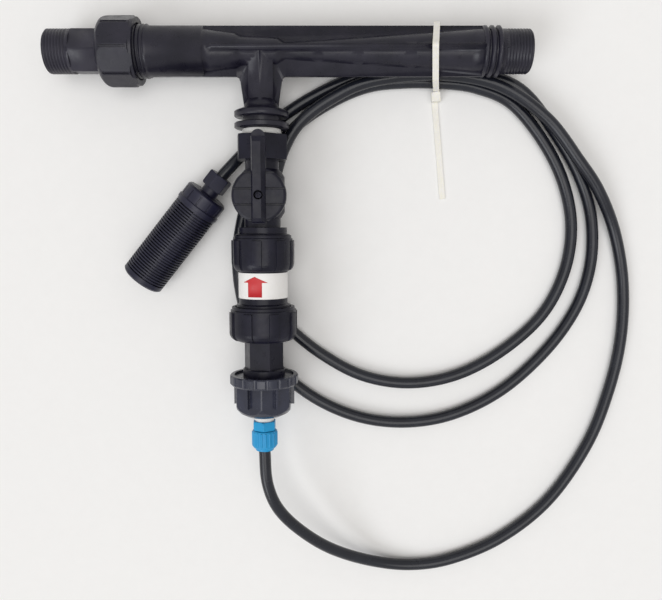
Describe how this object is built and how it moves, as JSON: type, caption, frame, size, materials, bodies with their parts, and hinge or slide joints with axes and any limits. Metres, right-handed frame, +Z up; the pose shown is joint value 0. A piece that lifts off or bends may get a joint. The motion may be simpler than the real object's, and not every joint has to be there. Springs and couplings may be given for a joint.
{
  "type": "venturi fertilizer injector",
  "caption": "Venturi injector with pipe threads, a union inlet and a ribbed diffuser; its suction leg has a ball valve, a check valve and a coiled hose with a strainer.",
  "frame": {"origin": "on the flow axis at the inlet thread's first full turn, 0.8 mm inside the tail's outer end", "axes": "+X along the flow from inlet to outlet, +Z up from the surface it lies on, -Y towards the suction leg"},
  "size_m": [0.4672, 0.4669, 0.0686],
  "materials": {
    "black_pp": "moulded black plastic, satin",
    "grey_black_pp": "moulded grey-black plastic, satin",
    "valve_plastic": "moulded black plastic, satin",
    "seal_rubber": "black rubber",
    "thread_tape": "white wound tape",
    "white_plastic": "smooth off-white plastic",
    "steel": "bright steel",
    "dark_steel": "blackened steel",
    "label_paper": "white film label",
    "blue_plastic": "bright blue plastic",
    "hose_plastic": "smooth dark tube",
    "strainer_plastic": "dark moulded plastic",
    "tie_plastic": "natural nylon"
  },
  "bodies": {
    "injector": {"venturi_body": "black_pp", "inlet_tail": "grey_black_pp", "inlet_union_nut": "black_pp", "inlet_seal": "seal_rubber", "branch_thread_tape": "thread_tape", "valve_body": "valve_plastic", "upper_ball_seat": "white_plastic", "lower_ball_seat": "white_plastic", "ball_seat_retainer": "valve_plastic", "upper_union_nut": "valve_plastic", "upper_union_seal": "seal_rubber", "check_valve_body": "valve_plastic", "check_spring": "steel", "spring_cage": "valve_plastic", "flow_label": "label_paper", "lower_union_nut": "valve_plastic", "lower_union_seal": "seal_rubber", "lower_tail": "valve_plastic", "end_cap": "valve_plastic", "end_cap_seal": "seal_rubber", "fitting_tape": "thread_tape", "hose_fitting_body": "blue_plastic", "hose_fitting_nut": "blue_plastic", "hose_ferrule": "white_plastic", "suction_hose": "hose_plastic", "strainer_nut": "strainer_plastic", "strainer_ferrule": "white_plastic", "strainer_cap": "strainer_plastic", "strainer_screen": "strainer_plastic", "cable_tie": "tie_plastic"},
    "handle": {"valve_handle": "valve_plastic", "handle_screw": "dark_steel", "valve_stem": "white_plastic", "valve_ball": "white_plastic", "stem_seal": "seal_rubber"},
    "poppet": {"check_poppet": "white_plastic", "poppet_seal": "seal_rubber"}
  },
  "joints": [
    {"name": "valve_turn", "type": "hinge", "parent": "injector", "child": "handle", "pos_m": [0.1615, -0.10985, 0.00576], "axis": [0, 0.0523, 0.9986], "range_deg": [-90, 0]},
    {"name": "poppet_slide", "type": "slide", "parent": "injector", "child": "poppet", "axis": [0, 0.9986, -0.0523], "range_m": [0, 0.004], "stiffness_N_per_m": 60, "springref_m": -0.003, "deforming": ["check_spring"]}
  ]
}
